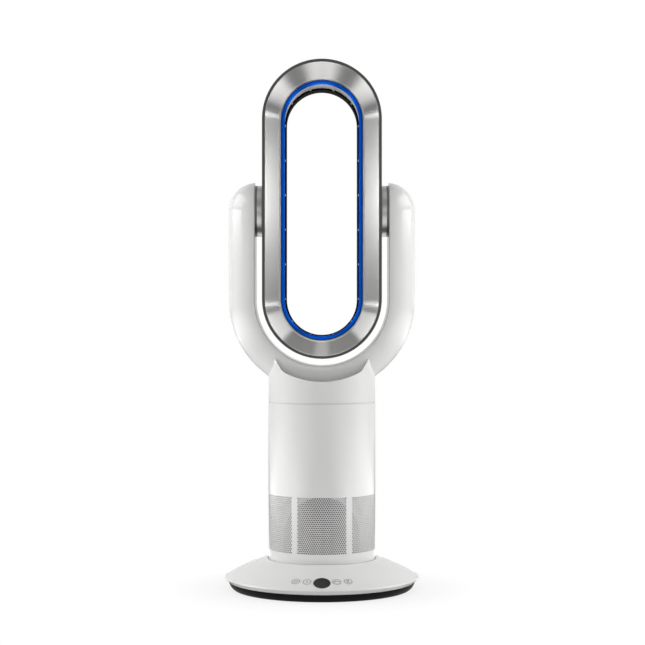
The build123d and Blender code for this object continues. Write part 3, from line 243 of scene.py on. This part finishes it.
# brush lines 0.5 mm apart across the bevel, coarser than the real 0.1 mm so that they show
lines = add(tree, "ShaderNodeTexNoise", {
    "W": distance.outputs["Value"], "Scale": 1 / (0.5 * mm), "Detail": 3.0,
}, noise_dimensions="1D")
tone = add(tree, "ShaderNodeMix", {
    0: lines.outputs["Fac"], 6: linear("#E5E4E1"), 7: linear("#D9D8D5"),
}, data_type="RGBA")
rough = add(tree, "ShaderNodeMapRange", {
    "Value": lines.outputs["Fac"], "To Min": 0.3, "To Max": 0.34,
})
grooves = add(tree, "ShaderNodeBump", {
    "Height": lines.outputs["Fac"], "Strength": 0.08, "Distance": 0.05 * mm,
})
shade = add(tree, "ShaderNodeBsdfPrincipled", {
    "Base Color": tone.outputs[2], "Metallic": 1.0, "Roughness": rough.outputs["Result"],
    "Anisotropic": 1.0, "Anisotropic Rotation": 0.25, "Tangent": brushing,
    "Normal": grooves.outputs["Normal"],
})
add(tree, "ShaderNodeOutputMaterial", {"Surface": shade.outputs["BSDF"]})

# Blue metallic lacquer over a brushed base. Its flakes are painted in two blues at random, and the
# lighter ones are painted glints that stand for flakes facing the light.
bead_lacquer, tree = new_material("blue_metallic_lacquer")
place, outward, brushing = along_loop(tree)
flakes = add(tree, "ShaderNodeTexVoronoi", {"Vector": place, "Scale": 1 / (0.35 * mm)})
tone = add(tree, "ShaderNodeMix", {
    0: flakes.outputs["Color"], 6: linear("#004ED4"), 7: linear("#0076FA"),
}, data_type="RGBA")
shade = add(tree, "ShaderNodeBsdfPrincipled", {
    "Base Color": tone.outputs[2], "Metallic": 0.95, "Roughness": 0.38, "Anisotropic": 0.9,
    "Anisotropic Rotation": 0.25, "Tangent": brushing,
})
add(tree, "ShaderNodeOutputMaterial", {"Surface": shade.outputs["BSDF"]})

finish_of_slot = {
    "white_gloss": white_abs, "white_satin": white_satin_abs, "black_gloss": black_abs,
    "black_matte": matt_black_abs, "iron_grey": iron_paint, "silver_satin": silver_plate,
    "hub_grey": hub_paint, "band_grey": grey_acetal, "blue_metallic": bead_lacquer,
    "liner_grey": liner_abs, "smoke_window": smoked_acrylic, "steel": zinc_plate,
    "cast_weight": cast_iron, "rubber": rubber, "board_green": solder_mask,
    "acetal": natural_acetal,
}
for row in frame["record"]["subparts"]:
    node = frame["nodes"][row["node"]]
    node.data.materials.clear()
    node.data.materials.append(finish_of_slot[row["material_slot"]])


# ---------------------------------------------------------------- bezel, bead and column
# Bezel: rolled outer lip, brushed bevel, and a raised inner lip that meets the blue bead
bezel = bmesh.new()
round_the_loop(bezel, metres(
    [(75.1, -47.4), (75.1, -50.2)]
    + arc((74.5, -50.3), 0.6, 0, -110, 5)
    + [(73.6, -50.1), (72.9, -49.3), (66.0, -40.6), (57.4, -30.2), (56.7, -29.4)]
    + arc((55.8, -28.6), 1.0, 225, 350, 6)
    + [(54.9, -27.6), (54.9, -22.2), (56.8, -22.2), (56.8, -26.4), (73.4, -47.4)]
))
piece_of("bevelled_bezel", bezel, silver_plate, "head", ["front_bezel"], sharp=60.0)

# Bead: lacquered ring with a crowned face that hides the liner's front edge
bead = bmesh.new()
round_the_loop(bead, metres(
    [(54.05, -22.1)] + arc((51.5, -23.8), 2.55, -5, -175, 12) + [(48.95, -22.1)]
))
piece_of("lacquered_bead", bead, bead_lacquer, "head", ["blue_trim"], sharp=60.0)

# Saddles: shallow dark caps on the loop's sides, round the pivots' discs. Their section is in
# millimetres, out from the fan's middle plane and from the pivot's axis.
saddle_profile = [
    (78.4, 34.2), (79.8, 34.2), (79.8, 35.0), (79.6, 36.5), (79.1, 41.0), (78.9, 42.6), (78.4, 43.0),
]
for side, name in ((-1, "left"), (1, "right")):
    saddle = bmesh.new()
    rings = []
    for step in range(around):
        turn = 2 * pi * step / around
        rings.append([
            saddle.verts.new((side * x * mm, r * mm * cos(turn), pivot_height + r * mm * sin(turn)))
            for x, r in saddle_profile
        ])
    join_rings(saddle, rings)
    piece_of(f"saddle_{name}", saddle, iron_paint, "head")


# Column: one wall with six panels of fine round holes in staggered rows. Between the panels the
# wall is plain, and where every other row has one hole less the panels' edges are toothed.
panels = 6
pillar = radians(6)           # plain wall between two panels
panel_turn = radians(54)
pillar_steps = 4
holes_across = 23
hole_rows = 29
hole_radius = 1.15 * mm
hole_depth = 1.4 * mm
hole_corners = 8
half_pitch = panel_turn / (2 * holes_across)
row_height = (intake_top - intake_bottom) / hole_rows


def on_column(turn, height, radius=column_radius):
    """Point of the column's wall; turn 0 is the middle of the front panel."""
    return (radius * sin(turn), -radius * cos(turn), height)


column = bmesh.new()
known = {}


def corner(turn, height, radius=column_radius):
    """The shared point of the wall at a place."""
    key = (round(turn * 1e5) % round(2 * pi * 1e5), round(height * 1e6), round(radius * 1e6))
    if key not in known:
        known[key] = column.verts.new(on_column(turn, height, radius))
    return known[key]


def plain(left, right, low, high):
    """One cell of the wall without a hole."""
    column.faces.new((
        corner(left, low), corner(right, low), corner(right, high), corner(left, high),
    ))


def holed(left, low):
    """One cell of the wall with a hole in its middle: eight faces round it and its own wall."""
    right, high = left + 2 * half_pitch, low + row_height
    middle, centre = left + half_pitch, low + row_height / 2
    border = [
        corner(right, centre), corner(right, high), corner(middle, high), corner(left, high),
        corner(left, centre), corner(left, low), corner(middle, low), corner(right, low),
    ]
    rim, inner = [], []
    for k in range(hole_corners):
        turn = 2 * pi * k / hole_corners
        across = middle + hole_radius * cos(turn) / column_radius
        up = centre + hole_radius * sin(turn)
        rim.append(column.verts.new(on_column(across, up)))
        inner.append(column.verts.new(on_column(across, up, column_radius - hole_depth)))
    for k in range(hole_corners):
        j = (k + 1) % hole_corners
        column.faces.new((border[k], border[j], rim[j], rim[k]))
        column.faces.new((rim[k], rim[j], inner[j], inner[k]))


for panel in range(panels):
    start = panel * (panel_turn + pillar) - panel_turn / 2
    for row in range(hole_rows):
        low = intake_bottom + row * row_height
        shift = row % 2
        for place in range(holes_across - shift):
            holed(start + (2 * place + shift) * half_pitch, low)
        if shift:
            plain(start, start + half_pitch, low, low + row_height)
            plain(start + panel_turn - half_pitch, start + panel_turn, low, low + row_height)
        for step in range(pillar_steps):
            left = start + panel_turn + step * pillar / pillar_steps
            plain(left, left + pillar / pillar_steps, low, low + row_height)

# plain bands under and over the panels, the rolled ends, and the wall's inside
turns = []
for panel in range(panels):
    start = panel * (panel_turn + pillar) - panel_turn / 2
    turns += [start + k * half_pitch for k in range(2 * holes_across)]
    turns += [start + panel_turn + k * pillar / pillar_steps for k in range(pillar_steps)]
inside_gap = 2 * mm           # the wall's inside ends this far from the panels
edge_radius = 0.5 * mm        # the wall's rolled lower edge
groove_width = 1.0 * mm       # the shadow line at the seam with the yoke's collar
groove_depth = 1.6 * mm
profile_below = [
    (column_bore, intake_bottom - inside_gap), (column_bore, housing_bottom),
    (column_radius - edge_radius, housing_bottom),
    (column_radius - 0.15 * mm, housing_bottom + 0.15 * mm),
    (column_radius, housing_bottom + edge_radius), (column_radius, intake_bottom),
]
profile_above = [
    (column_radius, intake_top), (column_radius, column_seam - 1.3 * mm),
    (column_radius - 0.15 * mm, column_seam - 1.1 * mm),
    (column_radius - 0.4 * mm, column_seam - groove_width),
    (column_radius - groove_depth, column_seam - groove_width),
    (column_radius - groove_depth, column_seam),
    (column_bore, column_seam), (column_bore, intake_top + inside_gap),
]
for profile in (profile_below, profile_above):
    for (r0, z0), (r1, z1) in zip(profile, profile[1:]):
        for left, right in zip(turns, turns[1:] + turns[:1]):
            column.faces.new((
                corner(left, z0, r0), corner(right, z0, r0),
                corner(right, z1, r1), corner(left, z1, r1),
            ))
piece_of("perforated_column", column, white_abs, "column", ["column_housing"])

# Guide dome: a smooth thin shell with an upright foot, seen through the holes. Millimetres. Its dark
# grey paint is partly its own colour and partly painted shade, which darkens the holes where the
# column's inside lies in shade.
guide_radius = 52.0
guide_wall = 2.0
guide_foot = 40.9             # height of its lower edge
guide_centre = 69.0           # height of the middle of its round top
dome_steps = 20
dome = bmesh.new()
dome_profile = (
    [(guide_radius - guide_wall, guide_foot), (guide_radius, guide_foot)]
    + arc((0, guide_centre), guide_radius, 0, 90, dome_steps)
    + arc((0, guide_centre), guide_radius - guide_wall, 90, 0, dome_steps)
)
rings = []
for step in range(around):
    turn = 2 * pi * step / around
    rings.append([
        dome.verts.new((r * mm * cos(turn), r * mm * sin(turn), z * mm)) for r, z in dome_profile
    ])
join_rings(dome, rings)
bmesh.ops.remove_doubles(dome, verts=dome.verts, dist=0.001 * mm)
piece_of("guide_dome", dome, iron_paint, "column", ["inlet_cone"])

# ---------------------------------------------------------------- marks on the keys
ink_rise = 0.73 * mm          # the ink lies on the keys' tops, this far above the dish


def key_frame(across):
    """Place and axes of a key on the dish: across to the right, up the slope, and outward."""
    turn = asin(across / control_circle)
    height = dish_centre + sqrt(dish_radius**2 - control_circle**2)
    spot = Vector((control_circle * sin(turn), -control_circle * cos(turn), height))
    outward = (spot - Vector((0, 0, dish_centre))).normalized()
    right = Vector((cos(turn), sin(turn), 0))
    up = outward.cross(right)
    return Matrix((right, up, outward)).transposed().to_4x4(), spot + outward * ink_rise


def stroke(bm, points, width=0.8, closed=False):
    """A flat line of ink through points given in millimetres."""
    pairs = []
    count = len(points)
    for i, (x, y) in enumerate(points):
        before = points[(i - 1) % count] if closed or i else (x, y)
        after = points[(i + 1) % count] if closed or i < count - 1 else (x, y)
        along = Vector((after[0] - before[0], after[1] - before[1])).normalized()
        side = Vector((-along.y, along.x)) * width / 2
        pairs.append([
            bm.verts.new(((x + s * side.x) * mm, (y + s * side.y) * mm, 0)) for s in (1, -1)
        ])
    for a, b in zip(pairs, pairs[1:] + (pairs[:1] if closed else [])):
        bm.faces.new((a[0], b[0], b[1], a[1]))


def bow(radius, start, end, middle=(0, 0), steps=24):
    """Points of a round stroke."""
    return arc(middle, radius, start, end, steps)


# A ring on each key and a sign in it. The places are millimetres across from the middle.
marks = {"power": -33.2, "mode": -19.0, "swing": 18.8, "timer": 33.4}
for name, across in marks.items():
    bm = bmesh.new()
    stroke(bm, bow(4.9, 0, 360)[:-1], 0.7, closed=True)
    if name == "power":  # an open ring with a bar
        stroke(bm, bow(2.3, 120, 420))
        stroke(bm, [(0, 0.6), (0, 3.1)])
    elif name == "mode":  # three blades
        for blade in range(3):
            turn = 90 + 120 * blade
            tip = (2.9 * cos(radians(turn)), 2.9 * sin(radians(turn)))
            side = (1.9 * cos(radians(turn + 50)), 1.9 * sin(radians(turn + 50)))
            stroke(bm, [(0, 0), side, tip, (0, 0)], 0.4)
    elif name == "swing":  # a bow with two barbed ends
        stroke(bm, bow(3.0, 35, 145, (0, -1.4)))
        stroke(bm, [(-3.3, -0.9), (-2.5, 0.4), (-1.1, 0.0)])
        stroke(bm, [(3.3, -0.9), (2.5, 0.4), (1.1, 0.0)])
    else:  # timer: a crescent
        stroke(bm, bow(2.5, 60, 300, (0.3, 0)))
        stroke(bm, bow(2.0, 100, 260, (1.7, 0)))
        stroke(bm, [(1.55, 2.16), (1.35, 1.97)], 0.4)
        stroke(bm, [(1.55, -2.16), (1.35, -1.97)], 0.4)
    axes, spot = key_frame(across * mm)
    bmesh.ops.transform(bm, matrix=Matrix.Translation(spot) @ axes, verts=bm.verts)
    piece_of(f"mark_{name}", bm, grey_ink, f"{name}_key")

# ---------------------------------------------------------------- stage and light
# Paper floor: plain to the light, white to the eye away from the fan, and shaded under it
floor_paper, tree = new_material("floor_paper")
ray = add(tree, "ShaderNodeLightPath")
eye = add(tree, "ShaderNodeMath", {
    0: ray.outputs["Is Camera Ray"], 1: ray.outputs["Is Transmission Ray"],
}, operation="ADD", use_clamp=True)
place = add(tree, "ShaderNodeTexCoord").outputs["Object"]
away = add(tree, "ShaderNodeVectorMath", {0: place}, operation="LENGTH")
# right round the base the eye sees a fifth of the paper itself, which carries the fan's shadow
share = add(tree, "ShaderNodeMapRange", {
    "Value": away.outputs["Value"], "From Min": 0.12, "From Max": 0.22, "To Min": 0.8, "To Max": 1.0,
}, interpolation_type="SMOOTHSTEP")
# in reflections the floor is a lane of light before and behind the fan and a broad one far out at
# each side, with a dim strip between them and a dim patch right round the base
axes = add(tree, "ShaderNodeSeparateXYZ", {0: place})
sideways = add(tree, "ShaderNodeMath", {0: axes.outputs["X"]}, operation="ABSOLUTE")
lane = add(tree, "ShaderNodeMapRange", {
    "Value": sideways.outputs[0], "From Min": 0.1, "From Max": 0.35, "To Min": 1.9, "To Max": 0.15,
}, interpolation_type="SMOOTHSTEP")
flank = add(tree, "ShaderNodeMapRange", {
    "Value": sideways.outputs[0], "From Min": 0.5, "From Max": 0.95, "To Min": 0.0, "To Max": 2.4,
}, interpolation_type="SMOOTHSTEP")
far = add(tree, "ShaderNodeMapRange", {
    "Value": sideways.outputs[0], "From Min": 1.4, "From Max": 4.5, "To Min": 1.0, "To Max": 0.1,
}, interpolation_type="SMOOTHSTEP")
broad = add(tree, "ShaderNodeMath", {
    0: flank.outputs["Result"], 1: far.outputs["Result"],
}, operation="MULTIPLY")
lanes = add(tree, "ShaderNodeMath", {
    0: lane.outputs["Result"], 1: broad.outputs[0],
}, operation="MAXIMUM")
clear = add(tree, "ShaderNodeMapRange", {
    "Value": away.outputs["Value"], "From Min": 0.14, "From Max": 0.3, "To Min": 0.1, "To Max": 1.0,
}, interpolation_type="SMOOTHSTEP")
outside = add(tree, "ShaderNodeMath", {
    0: lanes.outputs[0], 1: clear.outputs["Result"],
}, operation="MULTIPLY")
# and it fades with the distance before and behind the fan
depthways = add(tree, "ShaderNodeMath", {0: axes.outputs["Y"]}, operation="ABSOLUTE")
near = add(tree, "ShaderNodeMapRange", {
    "Value": depthways.outputs[0], "From Min": 0.8, "From Max": 1.5, "To Min": 1.0, "To Max": 0.25,
}, interpolation_type="SMOOTHSTEP")
lit = add(tree, "ShaderNodeMath", {
    0: outside.outputs[0], 1: near.outputs["Result"],
}, operation="MULTIPLY")
seen = add(tree, "ShaderNodeMath", {
    0: eye.outputs[0], 1: share.outputs["Result"],
}, operation="MULTIPLY")
white = add(tree, "ShaderNodeMath", {
    0: seen.outputs[0], 1: ray.outputs["Is Glossy Ray"],
}, operation="MAXIMUM")
power = add(tree, "ShaderNodeMix", {
    0: ray.outputs["Is Glossy Ray"], 2: 1.0, 3: lit.outputs[0],
}, data_type="FLOAT")
paper = add(tree, "ShaderNodeBsdfDiffuse", {"Color": linear("#F2F2F2")})
glow = add(tree, "ShaderNodeEmission", {"Color": [1, 1, 1, 1], "Strength": power.outputs[0]})
both = add(tree, "ShaderNodeMixShader", {
    0: white.outputs[0], 1: paper.outputs["BSDF"], 2: glow.outputs["Emission"],
})
add(tree, "ShaderNodeOutputMaterial", {"Surface": both.outputs["Shader"]})

reach = 6.0                   # metres from the floor's middle to its edges
floor_mesh = bpy.data.meshes.new("floor")
floor_mesh.from_pydata(
    [(-reach, -reach, 0), (reach, -reach, 0), (reach, reach, 0), (-reach, reach, 0)],
    [], [(0, 1, 2, 3)],
)
floor_mesh.materials.append(floor_paper)
floor = bpy.data.objects.new("floor", floor_mesh)
scene.collection.objects.link(floor)

# The room: white backdrop to the eye. Dull surfaces see it nearly even, a little brighter at both
# sides, and the softboxes at the sides shade the upright walls.
world = bpy.data.worlds.new("studio")
scene.world = world
world.use_nodes = True
tree = world.node_tree
tree.nodes.clear()
ray = add(tree, "ShaderNodeLightPath")
eye = add(tree, "ShaderNodeMath", {
    0: ray.outputs["Is Camera Ray"], 1: ray.outputs["Is Transmission Ray"],
}, operation="ADD", use_clamp=True)
aim = add(tree, "ShaderNodeTexCoord").outputs["Generated"]
axes = add(tree, "ShaderNodeSeparateXYZ", {0: aim})
sideways = add(tree, "ShaderNodeMath", {0: axes.outputs["X"]}, operation="ABSOLUTE")
soft = add(tree, "ShaderNodeMapRange", {
    "Value": sideways.outputs[0], "From Min": 0.3, "From Max": 0.95, "To Min": 0.55, "To Max": 0.6,
}, interpolation_type="SMOOTHSTEP")
# in gloss: a dim room behind the camera and the white backdrop behind the fan
backdrop = add(tree, "ShaderNodeMapRange", {
    "Value": axes.outputs["Y"], "From Min": 0.3, "From Max": 0.7, "To Min": 0.28, "To Max": 0.8,
}, interpolation_type="SMOOTHSTEP")
# a round light right behind the camera, which draws bright lines on lips that face it
facing = add(tree, "ShaderNodeMapRange", {
    "Value": axes.outputs["Y"], "From Min": -0.99, "From Max": -0.95, "To Min": 1.4, "To Max": 0.0,
}, interpolation_type="SMOOTHSTEP")
gloss = add(tree, "ShaderNodeMath", {
    0: backdrop.outputs["Result"], 1: facing.outputs["Result"],
}, operation="MAXIMUM")
mirror = add(tree, "ShaderNodeMix", {
    0: ray.outputs["Is Glossy Ray"], 2: soft.outputs["Result"], 3: gloss.outputs[0],
}, data_type="FLOAT")
strength = add(tree, "ShaderNodeMix", {
    0: eye.outputs[0], 2: mirror.outputs[0], 3: 1.0,
}, data_type="FLOAT")
glow = add(tree, "ShaderNodeBackground", {"Color": [1, 1, 1, 1], "Strength": strength.outputs[0]})
add(tree, "ShaderNodeOutputWorld", {"Surface": glow.outputs["Background"]})


def softbox(name, place, aim, width, height, radiance, fill=True, shine=True):
    """A rectangular soft light that faces a point; its width lies level. Without fill it shows in
    gloss only, without shine it brightens dull surfaces only."""
    lamp = bpy.data.lights.new(name, "AREA")
    lamp.shape = "RECTANGLE"
    lamp.size = width
    lamp.size_y = height
    lamp.energy = radiance * pi * width * height
    holder = bpy.data.objects.new(name, lamp)
    holder.location = place
    holder.rotation_euler = (Vector(aim) - Vector(place)).to_track_quat("-Z", "Y").to_euler()
    holder.visible_camera = False
    holder.visible_diffuse = fill
    holder.visible_glossy = shine
    scene.collection.objects.link(holder)


# Two pairs of strips light the brushed bevel in sectors, level with the loop's straights and high
# over it for the lower round end. The floor's lanes light the upper one.
for side in (-1, 1):
    softbox(
        f"level_strip_{side}", place=(3.0 * side, -0.05, 0.75), aim=(0, -0.05, 0.75),
        width=2.6, height=0.12, radiance=10.0, fill=False,
    )
    softbox(
        f"high_strip_{side}", place=(2.2 * side, -0.05, 1.75), aim=(0, -0.05, 0.35),
        width=2.6, height=1.4, radiance=2.9, fill=False,
    )
    softbox(
        f"side_softbox_{side}", place=(1.5 * side, 0, 0.5), aim=(0, 0, 0.45),
        width=0.5, height=1.2, radiance=5.7, shine=False,
    )
softbox("top_softbox", place=(0, -0.4, 2.0), aim=(0, 0, 0.36), width=0.4, height=1.2, radiance=0.9)
